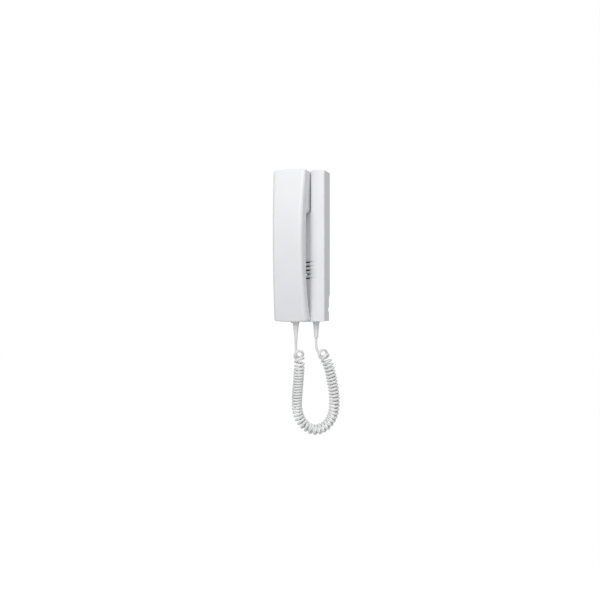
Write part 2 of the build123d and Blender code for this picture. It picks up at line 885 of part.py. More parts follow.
# The join of a biarc between two points with given directions, and its direction there
def biarc_join(begin, begin_way, close, close_way):
    gap = close - begin
    both = begin_way + close_way
    slack = 2 * (1 - begin_way.dot(close_way))
    reach = (math.sqrt(gap.dot(both) ** 2 + slack * gap.dot(gap)) - gap.dot(both)) / slack
    first = begin + begin_way * reach
    second = close - close_way * reach
    return (first + second) / 2, (second - first).normalized()


# Arcs through the stations, with a straight end of one wire at each side
def draw_turns(stations, tail):
    begin, begin_way = stations[0]
    close, close_way = stations[-1]
    Line(begin - begin_way * tail, begin)
    for (here, way), (there, there_way) in zip(stations, stations[1:]):
        join, join_way = biarc_join(here, way, there, there_way)
        TangentArc(here, join, tangent=way)
        TangentArc(join, there, tangent=join_way)
    Line(close, close + close_way * tail)


# Least gap between turns, measured on points of the drawn path
def least_gap(path, diameter, radius):
    marks = []
    run = 0
    for edge in path.edges():
        count = 8
        for step in range(count):
            marks.append((edge @ (step / count), run + edge.length * step / count))
        run += edge.length
    least = run
    for number, (point, place) in enumerate(marks):
        for other, other_place in marks[number + 1 :]:
            if other_place - place > 6 * math.pi * radius:
                break
            if other_place - place > math.pi * radius:
                least = min(least, (other - point).length)
    return least - diameter


# Hook spring between its board and the plunger's roof
spring_radius = (spring_diameter - spring_wire) / 2
spring_foot = hook_face + spring_seat_gap + spring_wire / 2
spring_head = plunger_tip - plunger_roof - spring_seat_gap - spring_wire / 2
spring_line = []
for number in range(spring_turns * 4 + 1):
    depth = spring_foot + (spring_head - spring_foot) * number / (spring_turns * 4)
    spring_line.append(Vector(hook_x, -depth, hook_z))
left_side = Vector(-1, 0, 0)
even_pitch = [(0, 1), (1, 1)]
spring_stations = wind(spring_line, spring_radius, spring_turns, left_side, left_side, even_pitch)
with BuildPart() as hook_spring:
    with BuildLine() as spring_path:
        draw_turns(spring_stations, spring_wire / 2)
    with BuildSketch(Plane(origin=spring_path.wire() @ 0, z_dir=spring_path.wire() % 0)):
        Circle(spring_wire / 2)
    sweep(path=spring_path.wire())
finish(hook_spring, "hook_spring")
print("hook spring: least gap", round(least_gap(spring_path, spring_wire, spring_radius), 2))


# The handset's block, thinned all round by inset
def handset_block(inset):
    top = half_height + overrun
    with BuildPart() as block:
        with BuildSketch(beside(handset_x)):
            with BuildLine():
                ThreePointArc(
                    (handset_top_depth, top),
                    (handset_front_depth, 0),
                    (handset_bottom_depth, -top),
                )
                Line((handset_bottom_depth, -top), (mouth_rear_depth, -top))
                TangentArc(
                    (grip_rear_depth, grip_bend_z),
                    (mouth_rear_depth, -top),
                    tangent=(0, -1),
                )
                FilletPolyline(
                    (grip_rear_depth, grip_bend_z),
                    (grip_rear_depth, ear_ledge_z),
                    (ear_rear_depth, ear_ledge_z),
                    (ear_rear_depth, top),
                    radius=profile_corner_radius,
                )
                Line((ear_rear_depth, top), (handset_top_depth, top))
            make_face()
            if inset:
                offset(amount=-inset, kind=Kind.INTERSECTION)
        extrude(amount=handset_width, both=True)
        with BuildSketch(facing(0)):
            add(front_outline(handset_x, handset_half, handset_half_height, handset_waist, inset))
        extrude(amount=handset_front_depth + overrun, mode=Mode.INTERSECT)
    return block.part


# Everything in front of the parting line, with that line moved back by back
def front_space(back):
    top = half_height + overrun
    shift = parting_depth + back
    far = handset_front_depth + overrun
    with BuildPart() as space:
        with BuildSketch(beside(handset_x)):
            with BuildLine():
                ThreePointArc(
                    (handset_top_depth - shift, top),
                    (handset_front_depth - shift, 0),
                    (handset_bottom_depth - shift, -top),
                )
                Polyline(
                    (handset_bottom_depth - shift, -top),
                    (far, -top),
                    (far, top),
                    (handset_top_depth - shift, top),
                )
            make_face()
        extrude(amount=handset_width, both=True)
    return space.part


def is_long_side_edge(edge):
    away = abs(edge.center().X - handset_x)
    up = abs(edge.center().Z)
    beside_waist = away > handset_half - handset_waist - wall
    return beside_waist and edge.length > profile_corner_radius and up < handset_half_height - wall


with BuildPart() as handset_blank:
    add(handset_block(0))
    long_edges = edges().filter_by(is_long_side_edge)
    fillet(long_edges.sort_by(Axis.Y)[:2], front_edge_radius)
    long_edges = edges().filter_by(is_long_side_edge)
    rear_edges = long_edges.filter_by(lambda edge: -edge.center().Y < grip_rear_depth + seam_width)
    fillet(rear_edges, rear_edge_radius)
    end_edges = edges().filter_by(lambda edge: abs(edge.center().Z) > handset_half_height - wall)
    fillet(end_edges.filter_by(lambda edge: edge.length > wall), end_round_radius)

handset_void = handset_block(handset_wall)
seam_core = handset_block(seam_inset)
front_half = front_space(0)
with BuildPart() as seam_ring:
    add(front_space(seam_width))
    add(front_half, mode=Mode.SUBTRACT)
    add(seam_core, mode=Mode.SUBTRACT)

ear_inner = ear_rear_depth + handset_wall
grip_inner = grip_rear_depth + handset_wall
weight_rear = grip_inner + seat_gap
weight_face = weight_rear + weight_thickness
cord_hole_radius = sleeve_neck_diameter / 2 + sliding_gap


# Depth of the handset's rear face below the bend, as in its side profile
def mouth_rear(z):
    drop = grip_rear_depth - mouth_rear_depth
    run = grip_bend_z + half_height + overrun
    bend_radius = (run**2 + drop**2) / (2 * drop)
    return grip_rear_depth - bend_radius + math.sqrt(bend_radius**2 - (grip_bend_z - z) ** 2)


# Depth of the handset's front face
def front_depth(z):
    top = half_height + overrun
    end_depth = handset_top_depth if z > 0 else handset_bottom_depth
    return handset_front_depth - (handset_front_depth - end_depth) * (z / top) ** 2


# The two handset screws: height, and depths of the rear face, of the head's seat and of the boss
handset_screw_spots = []
for spot_z, rear in [
    (handset_screw_ear_z, ear_rear_depth),
    (handset_screw_grip_z, mouth_rear(handset_screw_grip_z)),
]:
    seat = rear + screw_pocket_depth
    handset_screw_spots.append((spot_z, rear, seat, seat + screw_floor))

# Front shell with two screw bosses
with BuildPart() as handset_front_shell:
    add(handset_blank.part)
    add(front_half, mode=Mode.INTERSECT)
    add(handset_void, mode=Mode.SUBTRACT)
    for spot_z, rear, seat, foot in handset_screw_spots:
        with BuildSketch(facing(foot, handset_x, spot_z)):
            Circle(boss_diameter / 2)
        extrude(amount=front_depth(spot_z) - handset_wall / 2 - foot)
        with BuildSketch(facing(foot, handset_x, spot_z)):
            Circle(screw_diameter / 2 + sliding_gap)
        extrude(amount=screw_length, mode=Mode.SUBTRACT)
    with BuildSketch(under(handset_cord_x, handset_cord_depth, -handset_half_height + wall + overrun)):
        Circle(cord_hole_radius)
    extrude(amount=2 * overrun, mode=Mode.SUBTRACT)
finish(handset_front_shell, "handset_front_shell")

# The microphone's socket stands on the sloping wall, a half wall deep in it
socket_radius = capsule_diameter / 2 + boot_wall + sliding_gap
socket_foot = mouth_rear(microphone_z - socket_radius - socket_wall)
boot_depth = mouth_rear(microphone_z + socket_radius) + handset_wall + seat_gap
with BuildPart() as microphone_socket:
    with BuildSketch(facing(socket_foot, handset_x, microphone_z)):
        Circle(socket_radius + socket_wall)
        Circle(socket_radius, mode=Mode.SUBTRACT)
    extrude(amount=boot_depth + socket_height - socket_foot)
    add(handset_block(handset_wall / 2), mode=Mode.INTERSECT)

# Rear shell: earpiece holes, mouth slots, seats for what it carries
with BuildPart() as handset_rear_shell:
    add(handset_blank.part)
    add(front_half, mode=Mode.SUBTRACT)
    add(handset_void, mode=Mode.SUBTRACT)
    add(seam_ring.part, mode=Mode.SUBTRACT)
    # Rim round the receiver
    with BuildSketch(facing(ear_inner - joint_lap, handset_x, receiver_z)):
        Circle(receiver_diameter / 2 + sliding_gap + rim_wall)
        Circle(receiver_diameter / 2 + sliding_gap, mode=Mode.SUBTRACT)
    extrude(amount=rim_height + joint_lap)
    # Earpiece holes: one in the middle, then rings of six and twelve
    with BuildSketch(facing(ear_rear_depth - overrun, handset_x, receiver_z)):
        Circle(ear_hole_diameter / 2)
        for ring in range(1, ear_ring_count + 1):
            with PolarLocations(ear_ring_spacing * ring, ear_first_ring * ring):
                Circle(ear_hole_diameter / 2)
    extrude(amount=overrun + 2 * handset_wall, mode=Mode.SUBTRACT)
    # Microphone socket and mouth slots
    add(microphone_socket.part)
    with BuildSketch(facing(mouth_rear(microphone_z) - overrun, handset_x, microphone_z)):
        with GridLocations(0, mouth_slot_pitch, 1, mouth_slot_count):
            SlotOverall(mouth_slot_width, mouth_slot_height)
    extrude(amount=overrun + 2 * handset_wall, mode=Mode.SUBTRACT)
    # Screw bosses with pockets for the heads
    for spot_z, rear, seat, foot in handset_screw_spots:
        with BuildSketch(facing(rear + handset_wall - joint_lap, handset_x, spot_z)):
            Circle(boss_diameter / 2 + rim_wall)
        extrude(amount=foot - rear - handset_wall + joint_lap)
        with BuildSketch(facing(rear - overrun, handset_x, spot_z)):
            Circle(screw_pocket_diameter / 2)
        extrude(amount=seat - rear + overrun, mode=Mode.SUBTRACT)
        with BuildSketch(facing(rear, handset_x, spot_z)):
            Circle(screw_diameter / 2 + sliding_gap)
        extrude(amount=seat + overrun - rear, mode=Mode.SUBTRACT)
    # Posts for the ballast and the terminal board
    with BuildSketch(facing(grip_inner - joint_lap, handset_x, weight_z)):
        with GridLocations(0, weight_post_spacing, 1, 2):
            Circle(weight_post_diameter / 2)
    extrude(amount=weight_face - grip_inner + joint_lap - sliding_gap)
    with BuildSketch(facing(weight_face - weight_screw_reach, handset_x, weight_z)):
        with GridLocations(0, weight_post_spacing, 1, 2):
            Circle(pilot_bore / 2)
    extrude(amount=weight_screw_reach, mode=Mode.SUBTRACT)
    board_seat = mouth_rear(handset_board_z) + handset_wall + handset_board_lift
    with BuildSketch(facing(board_seat, handset_x, handset_board_z)):
        with GridLocations(handset_board_post_spacing, 0, 2, 1):
            Circle(handset_board_post / 2)
    extrude(amount=-(handset_board_lift + joint_lap))
    with BuildSketch(under(handset_cord_x, handset_cord_depth, -handset_half_height + wall + overrun)):
        Circle(cord_hole_radius)
    extrude(amount=2 * overrun, mode=Mode.SUBTRACT)
finish(handset_rear_shell, "handset_rear_shell")

# Earpiece: soft ring, frame, paper cone and magnet cup, stacked out from the rear wall
gasket_face = ear_inner + gasket_thickness
with BuildPart() as earpiece_gasket:
    with BuildSketch(facing(ear_inner, handset_x, receiver_z)):
        Circle(receiver_diameter / 2)
        Circle(receiver_diameter / 2 - gasket_width, mode=Mode.SUBTRACT)
    extrude(amount=gasket_thickness)
finish(earpiece_gasket, "earpiece_gasket")

receiver_back = gasket_face + receiver_depth
with BuildPart() as receiver_frame:
    with BuildSketch(facing(gasket_face, handset_x, receiver_z)):
        Circle(receiver_diameter / 2)
    extrude(amount=receiver_depth)
    with BuildSketch(facing(gasket_face, handset_x, receiver_z)):
        Circle(receiver_diameter / 2 - receiver_rim)
    extrude(amount=receiver_depth - receiver_floor, mode=Mode.SUBTRACT)
    with BuildSketch(facing(gasket_face, handset_x, receiver_z)):
        Circle(magnet_diameter / 2 - magnet_edge)
    extrude(amount=receiver_depth, mode=Mode.SUBTRACT)
    chamfer(edges().group_by(Axis.Y)[0].sort_by(SortBy.LENGTH)[-1], magnet_edge)
finish(receiver_frame, "receiver_frame")

cone_radius = receiver_diameter / 2 - receiver_rim - cone_rim_gap
with BuildPart() as receiver_cone:
    cone_seat = gasket_face + receiver_depth - receiver_floor
    with BuildSketch(beside(handset_x)):
        with BuildLine():
            Polyline(
                (cone_seat, receiver_z),
                (cone_seat, receiver_z + cone_radius),
                (cone_seat - cone_thickness, receiver_z + cone_radius),
                (cone_seat - cone_thickness - cone_height, receiver_z + cone_radius / 2),
                (cone_seat - cone_thickness, receiver_z),
                close=True,
            )
        make_face()
    revolve(axis=Axis((handset_x, 0, receiver_z), (0, 1, 0)))
finish(receiver_cone, "receiver_cone")

with BuildPart() as receiver_magnet:
    with BuildSketch(facing(receiver_back, handset_x, receiver_z)):
        Circle(magnet_diameter / 2)
    extrude(amount=magnet_height)
    chamfer(edges().group_by(Axis.Y)[0], magnet_edge)
finish(receiver_magnet, "receiver_magnet")

# Microphone capsule in its soft boot
with BuildPart() as microphone_boot:
    with BuildSketch(facing(boot_depth, handset_x, microphone_z)):
        Circle(capsule_diameter / 2 + boot_wall)
        Circle(capsule_diameter / 4, mode=Mode.SUBTRACT)
    extrude(amount=boot_floor + capsule_height)
    with BuildSketch(facing(boot_depth + boot_floor, handset_x, microphone_z)):
        Circle(capsule_diameter / 2 + sliding_gap)
    extrude(amount=capsule_height, mode=Mode.SUBTRACT)
finish(microphone_boot, "microphone_boot")

with BuildPart() as microphone_capsule:
    with BuildSketch(facing(boot_depth + boot_floor, handset_x, microphone_z)):
        Circle(capsule_diameter / 2)
    extrude(amount=capsule_height)
    fillet(edges().group_by(Axis.Y)[0], sliding_gap)
finish(microphone_capsule, "microphone_capsule")

# Steel ballast on two posts, each with a screw
with BuildPart() as handset_weight:
    with BuildSketch(facing(weight_rear, handset_x, weight_z)):
        RectangleRounded(weight_width, weight_length, weight_corner_radius)
        with GridLocations(0, weight_post_spacing, 1, 2):
            Circle(weight_post_diameter / 2 + weight_post_gap, mode=Mode.SUBTRACT)
    extrude(amount=weight_thickness)
    chamfer(edges().group_by(Axis.Y)[0], seat_gap)
finish(handset_weight, "handset_weight")

with BuildPart() as weight_screws:
    with BuildSketch(facing(weight_face, handset_x, weight_z)):
        with GridLocations(0, weight_post_spacing, 1, 2):
            Circle(weight_post_diameter / 2 + rim_wall)
    extrude(amount=small_head_height)
    chamfer(edges().group_by(Axis.Y)[0], small_head_height / 3)
    with BuildSketch(facing(weight_face, handset_x, weight_z)):
        with GridLocations(0, weight_post_spacing, 1, 2):
            Circle(small_screw_diameter / 2)
    extrude(amount=seat_gap - weight_screw_reach)
finish(weight_screws, "weight_screws")

# Terminal board of the handset, with four crimps for the cord's wires
with BuildPart() as handset_board:
    with BuildSketch(facing(board_seat, handset_x, handset_board_z)):
        RectangleRounded(handset_board_width, handset_board_height, board_corner_radius)
    extrude(amount=board_thickness)
finish(handset_board, "handset_board")

with BuildPart() as cord_crimps:
    with BuildSketch(facing(board_seat + board_thickness, handset_x, handset_board_z)):
        with GridLocations(crimp_pitch, 0, crimp_count, 1):
            Rectangle(crimp_width, crimp_length)
    extrude(amount=crimp_height)
    chamfer(edges().group_by(Axis.Y)[0], crimp_height / 4)
finish(cord_crimps, "cord_crimps")

with BuildPart() as handset_screws:
    for spot_z, rear, seat, foot in handset_screw_spots:
        with BuildSketch(facing(seat, handset_x, spot_z)):
            Circle(screw_head_diameter / 2)
        extrude(amount=-screw_head_height)
        with BuildSketch(facing(seat, handset_x, spot_z)):
            Circle(screw_diameter / 2)
        extrude(amount=screw_length)
finish(handset_screws, "handset_screws")


# A tapered sleeve under an end, turned about Z, with its neck and an oblong flange inside
def sleeve(x, depth, top, flange_foot, length, tip_diameter):
    root = sleeve_root_diameter / 2
    tip = tip_diameter / 2
    neck = sleeve_neck_diameter / 2
    with BuildPart() as turned:
        with BuildSketch(Plane(origin=(x, -depth, 0), x_dir=(1, 0, 0), z_dir=(0, -1, 0))):
            with BuildLine():
                Polyline(
                    (0, flange_foot + sleeve_flange_thickness),
                    (neck, flange_foot + sleeve_flange_thickness),
                    (neck, top),
                    (root + sleeve_drop, top),
                    (root + sleeve_drop, top - sleeve_collar),
                    (root, top - sleeve_collar),
                )
                flare = ThreePointArc(
                    (root, top - sleeve_collar),
                    ((root + tip) / 2 - sleeve_drop / 2, top - length / 2),
                    (tip, top - length),
                )
                Polyline(flare @ 1, (0, top - length), (0, flange_foot + sleeve_flange_thickness))
            make_face()
        revolve(axis=Axis((x, -depth, 0), (0, 0, 1)))
        with BuildSketch(under(x, depth, flange_foot + sleeve_flange_thickness)):
            SlotOverall(sleeve_flange_width, 2 * neck)
        extrude(amount=sleeve_flange_thickness)
    return turned.part


handset_end_z = -handset_half_height - end_crown
flange_right_x = handset_cord_x + sleeve_flange_width / 2
handset_flange_foot = lower_end(flange_right_x, handset_x, handset_half, handset_half_height)
handset_flange_foot += handset_wall + sliding_gap
collar_left_x = base_cord_x - sleeve_root_diameter / 2 - sleeve_drop
base_end_z = lower_end(collar_left_x, 0, half_width, half_height)
fork_right_x = base_cord_x + fork_width / 2
fork_foot = lower_end(fork_right_x, 0, half_width, half_height) + wall + sliding_gap / 3
base_flange_foot = fork_foot + fork_thickness + sliding_gap
with BuildPart() as handset_strain_relief:
    add(
        sleeve(
            handset_cord_x,
            handset_cord_depth,
            handset_end_z,
            handset_flange_foot,
            handset_sleeve_length,
            handset_sleeve_tip,
        )
    )
finish(handset_strain_relief, "handset_strain_relief")

with BuildPart() as base_strain_relief:
    add(
        sleeve(
            base_cord_x,
            base_cord_depth,
            base_end_z,
            base_flange_foot,
            base_sleeve_length,
            base_sleeve_tip,
        )
    )
finish(base_strain_relief, "base_strain_relief")

# Retaining fork over the base's lower wall, pushed on the sleeve's neck from behind
with BuildPart() as cord_fork:
    with BuildSketch(under(base_cord_x, base_cord_depth, fork_foot + fork_thickness)):
        with Locations((0, -fork_shift)):
            Rectangle(fork_width, fork_height)
        Circle(sleeve_neck_diameter / 2 + sliding_gap, mode=Mode.SUBTRACT)
        with Locations((0, fork_height / 2)):
            Rectangle(sleeve_neck_diameter + 2 * sliding_gap, fork_height, mode=Mode.SUBTRACT)
    extrude(amount=fork_thickness)
finish(cord_fork, "cord_fork")

# Route of the cord's winding, from the ring under the handset's sleeve, chosen by hand:
# forward and down, round the low bend, and up to the ring beside the base's sleeve
coil_start_x = handset_cord_x + turn_radius
coil_route = [
    (coil_start_x, -handset_cord_depth, winding_top_z),
    (coil_start_x, -handset_cord_depth - ring_reach, winding_top_z),
    (3.0, -40, -161),
    (3.8, -40.5, -171),
    (1.8, -39, -190),
    (-0.6, -37.3, -210),
    (-2.6, -35.5, -231),
    (0.5, -34, -246.5),
    (8.5, -32.4, -258.5),
    (23.5, -30.4, -265.5),
    (39.5, -28.7, -258.5),
    (49.2, -27.5, -244.5),
    (52.2, -26.8, -226),
    (50.6, -26.2, -207),
    (47, -25.8, -188),
    (42.6, -25.6, -171),
    (37.2, -24.6, -160.4),
    (30.1, -18.6, -154.4),
    (30.1, -13, -154.4),
]
# Pitch along the route, relative: wide in the end bends, tight above, open below
pitch_shares = [
    (0, 2.1),
    (0.06, 2.1),
    (0.09, 1.2),
    (0.13, 0.88),
    (0.2, 0.86),
    (0.28, 0.9),
    (0.36, 1.08),
    (0.43, 1.28),
    (0.57, 1.28),
    (0.65, 1.08),
    (0.85, 1.02),
    (0.91, 1.2),
    (0.94, 2.0),
    (1, 2.1),
]
line_steps = 60
down = Vector(0, 0, -1)
ring_angle = math.radians(ring_degrees)
ring_side = Vector(-math.cos(ring_angle), 0, -math.sin(ring_angle))
ring_leave = Vector(-math.sin(ring_angle), 0, math.cos(ring_angle))
coil_line = soften(coil_route, line_steps)
coil_stations = wind(coil_line, turn_radius, whole_turns, left_side, ring_side, pitch_shares)
coil_stations[0] = (coil_stations[0][0], down)
coil_stations[-1] = (coil_stations[-1][0], ring_leave)
with BuildPart() as curly_cord:
    with BuildLine() as coil_path:
        draw_turns(coil_stations, wire_diameter)
    with BuildSketch(Plane(origin=coil_path.wire() @ 0, z_dir=down)):
        Circle(wire_diameter / 2)
    sweep(path=coil_path.wire())
finish(curly_cord, "curly_cord")
coil_length = coil_path.wire().length
coil_gap = least_gap(coil_path, wire_diameter, turn_radius)
print("curly cord: wire", round(coil_length, 1), "least gap", round(coil_gap, 2))

# Straight stretches between the sleeves and the winding
coil_start = coil_path.wire() @ 0
coil_end = coil_path.wire() @ 1
handset_tip_z = handset_end_z - handset_sleeve_length
with BuildPart() as handset_cord_tail:
    with BuildLine() as tail_path:
        Line((handset_cord_x, -handset_cord_depth, handset_tip_z), coil_start)
    with BuildSketch(Plane(origin=tail_path.line @ 0, z_dir=down)):
        Circle(wire_diameter / 2)
    sweep(path=tail_path.line)
finish(handset_cord_tail, "handset_cord_tail")

base_tip_z = base_end_z - base_sleeve_length
tail_corner_z = coil_end.Z + (coil_end.X - base_cord_x) / math.tan(ring_angle)
tail_run = (coil_end - Vector(base_cord_x, -base_cord_depth, tail_corner_z)).length
tail_radius = tail_bend_share * tail_run / math.tan(ring_angle / 2)
with BuildPart() as base_cord_tail:
    with BuildLine() as bent_path:
        FilletPolyline(
            (base_cord_x, -base_cord_depth, base_tip_z),
            (base_cord_x, -base_cord_depth, tail_corner_z),
            coil_end,
            radius=tail_radius,
        )
    with BuildSketch(Plane(origin=bent_path.wire() @ 0, z_dir=down)):
        Circle(wire_diameter / 2)
    sweep(path=bent_path.wire())
finish(base_cord_tail, "base_cord_tail")
wire_area = math.pi * (wire_diameter / 2) ** 2
for name, tube, path in [
    ("curly cord", curly_cord, coil_path),
    ("handset tail", handset_cord_tail, tail_path),
    ("base tail", base_cord_tail, bent_path),
]:
    measured = tube.part.volume / (wire_area * path.wire().length)
    print(name, "volume against section times length:", round(measured, 5))
print("base tail radius", round(tail_radius, 1))
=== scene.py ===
import bpy
import math
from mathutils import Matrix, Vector


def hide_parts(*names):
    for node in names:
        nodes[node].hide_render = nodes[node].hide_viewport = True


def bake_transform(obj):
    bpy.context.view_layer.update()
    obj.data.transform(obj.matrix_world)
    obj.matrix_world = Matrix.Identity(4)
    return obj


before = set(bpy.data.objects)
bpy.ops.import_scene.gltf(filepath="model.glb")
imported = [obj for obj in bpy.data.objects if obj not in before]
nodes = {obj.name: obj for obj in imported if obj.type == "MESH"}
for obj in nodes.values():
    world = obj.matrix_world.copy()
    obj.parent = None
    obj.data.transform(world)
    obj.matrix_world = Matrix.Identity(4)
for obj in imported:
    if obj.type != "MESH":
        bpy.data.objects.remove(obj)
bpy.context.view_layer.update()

mm = 0.001


# Small helpers
def deselectAll():
    for item in bpy.context.selected_objects:
        item.select_set(False)


def smoothByAngle(piece, degrees):
    deselectAll()
    piece.select_set(True)
    bpy.context.view_layer.objects.active = piece
    bpy.ops.object.shade_smooth_by_angle(angle=math.radians(degrees))
    piece.select_set(False)


def atDepth(x, depth, z):
    # a place in millimetres: to the right, out of the wall, up
    return Vector((x * mm, -depth * mm, z * mm))


# Camera, at the photograph's angle

cameraSetup = {
    "azimuth": 20.0,
    "distance": 1.033,
    "lens": 41.7,
    "sensor": 36,
    "nearest": 0.01,
    "farthest": 50,
    "sideways": -9.6,  # millimetres to the right of the wall screws, as seen
    "height": -78.0,
}


def placeCamera(setup):
    turn = math.radians(setup["azimuth"])
    right = Vector((math.cos(turn), math.sin(turn), 0))
    ahead = Vector((-math.sin(turn), math.cos(turn), 0))
    aim = right * setup["sideways"] * mm + Vector((0, 0, setup["height"] * mm))
    data = bpy.data.cameras.new("photoCamera")
    data.lens = setup["lens"]
    data.sensor_width = setup["sensor"]
    data.clip_start = setup["nearest"]
    data.clip_end = setup["farthest"]
    camera = bpy.data.objects.new("photoCamera", data)
    bpy.context.scene.collection.objects.link(camera)
    camera.location = aim - ahead * setup["distance"]
    camera.rotation_euler = (math.radians(90), 0, turn)
    bpy.context.scene.camera = camera


placeCamera(cameraSetup)
print("camera placed")


# Materials
tintRun = {"low": 0.35, "high": 0.65, "lightShare": 0.5}


def newMaterial(name):
    material = bpy.data.materials.new(name)
    material.use_nodes = True
    tree = material.node_tree
    shader = tree.nodes["Principled BSDF"]
    return material, tree, shader


def objectNoise(tree, scale, detail, stretch=(1, 1, 1)):
    place = tree.nodes.new("ShaderNodeTexCoord")
    mapping = tree.nodes.new("ShaderNodeMapping")
    mapping.inputs["Scale"].default_value = stretch
    noise = tree.nodes.new("ShaderNodeTexNoise")
    noise.inputs["Scale"].default_value = scale
    noise.inputs["Detail"].default_value = detail
    tree.links.new(place.outputs["Object"], mapping.inputs["Vector"])
    tree.links.new(mapping.outputs["Vector"], noise.inputs["Vector"])
    return noise


def tintBetween(tree, noise, colour, spread):
    ramp = tree.nodes.new("ShaderNodeValToRGB")
    ramp.color_ramp.elements[0].position = tintRun["low"]
    ramp.color_ramp.elements[1].position = tintRun["high"]
    dark = [max(0, part - spread) for part in colour]
    light = [min(1, part + spread * tintRun["lightShare"]) for part in colour]
    ramp.color_ramp.elements[0].color = (*dark, 1)
    ramp.color_ramp.elements[1].color = (*light, 1)
    tree.links.new(noise.outputs["Fac"], ramp.inputs["Fac"])
    return ramp


def roughBetween(tree, noise, low, high):
    span = tree.nodes.new("ShaderNodeMapRange")
    span.inputs["To Min"].default_value = low
    span.inputs["To Max"].default_value = high
    tree.links.new(noise.outputs["Fac"], span.inputs["Value"])
    return span


def bumpFrom(tree, noise, height, strength, before=None):
    bump = tree.nodes.new("ShaderNodeBump")
    bump.inputs["Distance"].default_value = height
    bump.inputs["Strength"].default_value = strength
    tree.links.new(noise.outputs["Fac"], bump.inputs["Height"])
    if before:
        tree.links.new(before.outputs["Normal"], bump.inputs["Normal"])
    return bump


def mouldedPlastic(name, look):
    # injection moulded plastic: a fine spark-eroded grain, a slow sink ripple, faint colour drift
    material, tree, shader = newMaterial(name)
    drift = objectNoise(tree, look["driftScale"], look["driftDetail"])
    tint = tintBetween(tree, drift, look["colour"], look["drift"])
    tree.links.new(tint.outputs["Color"], shader.inputs["Base Color"])
    wipe = objectNoise(tree, look["wipeScale"], look["wipeDetail"])
    rough = roughBetween(tree, wipe, look["smooth"], look["rough"])
    tree.links.new(rough.outputs["Result"], shader.inputs["Roughness"])
    ripple = objectNoise(tree, look["rippleScale"], look["rippleDetail"])
    slow = bumpFrom(tree, ripple, look["rippleHeight"], look["rippleStrength"])
    grain = objectNoise(tree, look["grainScale"], look["grainDetail"])
    fine = bumpFrom(tree, grain, look["grainHeight"], look["grainStrength"], slow)
    tree.links.new(fine.outputs["Normal"], shader.inputs["Normal"])
    shader.inputs["IOR"].default_value = look["ior"]
    shader.inputs["Coat Weight"].default_value = look["coat"]
    shader.inputs["Coat Roughness"].default_value = look["coatRoughness"]
    shader.inputs["Sheen Weight"].default_value = look["sheen"]
    return material


def plainMetal(name, look):
    # plated or rolled metal: fine streaks along one way and a cloudy plating
    material, tree, shader = newMaterial(name)
    cloud = objectNoise(tree, look["cloudScale"], look["cloudDetail"])
    tint = tintBetween(tree, cloud, look["colour"], look["cloud"])
    tree.links.new(tint.outputs["Color"], shader.inputs["Base Color"])
    streak = objectNoise(tree, look["streakScale"], look["streakDetail"], look["streakStretch"])
    rough = roughBetween(tree, streak, look["smooth"], look["rough"])
    tree.links.new(rough.outputs["Result"], shader.inputs["Roughness"])
    bump = bumpFrom(tree, streak, look["streakHeight"], look["streakStrength"])
    tree.links.new(bump.outputs["Normal"], shader.inputs["Normal"])
    shader.inputs["Metallic"].default_value = 1
    return material


baseWhite = {
    "colour": (0.86, 0.862, 0.878),
    "drift": 0.012,
    "driftScale": 28,
    "driftDetail": 3,
    "wipeScale": 60,
    "wipeDetail": 5,
    "smooth": 0.42,
    "rough": 0.56,
    "rippleScale": 45,
    "rippleDetail": 1,
    "rippleHeight": 0.00012,
    "rippleStrength": 0.3,
    "grainScale": 2400,
    "grainDetail": 2,
    "grainHeight": 0.00004,
    "grainStrength": 0.35,
    "ior": 1.5,
    "coat": 0,
    "coatRoughness": 0.3,
    "sheen": 0,
}
handsetWhite = dict(
    baseWhite,
    colour=(0.868, 0.870, 0.892),
    smooth=0.34,
    rough=0.46,
    grainScale=3000,
    grainStrength=0.2,
    coat=0.08,
    coatRoughness=0.35,
)
keyGrey = dict(baseWhite, colour=(0.46, 0.475, 0.49), smooth=0.4, rough=0.55)
sleeveSoft = dict(
    baseWhite,
    colour=(0.835, 0.838, 0.84),
    smooth=0.5,
    rough=0.62,
    rippleScale=160,
    grainStrength=0.15,
    sheen=0.08,
)
cordSoft = dict(
    baseWhite,
    colour=(0.85, 0.852, 0.85),
    drift=0.02,
    driftScale=50,
    wipeScale=220,
    smooth=0.36,
    rough=0.5,
    rippleScale=420,
    rippleHeight=0.00006,
    grainStrength=0.12,
    coat=0.1,
    coatRoughness=0.4,
)
blackNylon = dict(baseWhite, colour=(0.035, 0.035, 0.037), drift=0.008, smooth=0.45, rough=0.6)
greenNylon = dict(baseWhite, colour=(0.05, 0.30, 0.13), drift=0.015, smooth=0.35, rough=0.5)
rubberBoot = dict(
    baseWhite,
    colour=(0.04, 0.04, 0.042),
    drift=0.01,
    smooth=0.7,
    rough=0.85,
    sheen=0.2,
)
foamRing = dict(
    baseWhite,
    colour=(0.09, 0.09, 0.095),
    drift=0.03,
    driftScale=900,
    smooth=0.85,
    rough=0.97,
    grainScale=1500,
    grainHeight=0.0004,
    grainStrength=0.8,
)
coneCard = dict(
    baseWhite,
    colour=(0.22, 0.19, 0.15),
    drift=0.05,
    driftScale=700,
    smooth=0.8,
    rough=0.95,
    grainScale=1100,
    grainHeight=0.0002,
    grainStrength=0.6,
)
resistorEnamel = dict(baseWhite, colour=(0.62, 0.48, 0.30), drift=0.03, smooth=0.3, rough=0.42)
boardMask = dict(
    baseWhite,
    colour=(0.018, 0.085, 0.042),
    drift=0.008,
    driftScale=420,
    smooth=0.28,
    rough=0.4,
    grainScale=1800,
    coat=0.3,
    coatRoughness=0.2,
)
zincPlate = {
    "colour": (0.62, 0.62, 0.63),
    "cloud": 0.07,
    "cloudScale": 380,
    "cloudDetail": 4,
    "streakScale": 900,
    "streakDetail": 3,
    "streakStretch": (1, 6, 1),
    "streakHeight": 0.00003,
    "streakStrength": 0.25,
    "smooth": 0.25,
    "rough": 0.42,
}
springWire = dict(zincPlate, colour=(0.5, 0.5, 0.52), smooth=0.18, rough=0.3)
